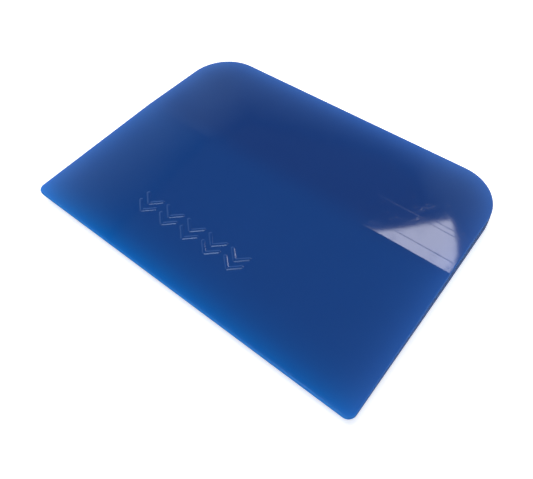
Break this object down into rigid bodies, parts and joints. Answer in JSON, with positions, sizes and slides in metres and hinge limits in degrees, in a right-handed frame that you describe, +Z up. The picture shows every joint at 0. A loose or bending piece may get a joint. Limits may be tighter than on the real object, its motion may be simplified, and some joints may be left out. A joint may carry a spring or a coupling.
{
  "type": "squeegee applicator",
  "caption": "Flexible wedge-profile squeegee blade in translucent blue urethane, with a thick flat grip and a thin working edge for pressing vinyl and film flat.",
  "frame": {"origin": "middle of the bounding box, on the plane that the flat grip rests on", "axes": "+X along the working edge, +Y from the working edge to the back of the grip, +Z up out of the upper face"},
  "size_m": [0.1268, 0.09, 0.006],
  "materials": {
    "blue_urethane": "glossy translucent dyed urethane, darker where it is thick"
  },
  "bodies": {
    "root": {"squeegee_blade": "blue_urethane"}
  },
  "joints": []
}
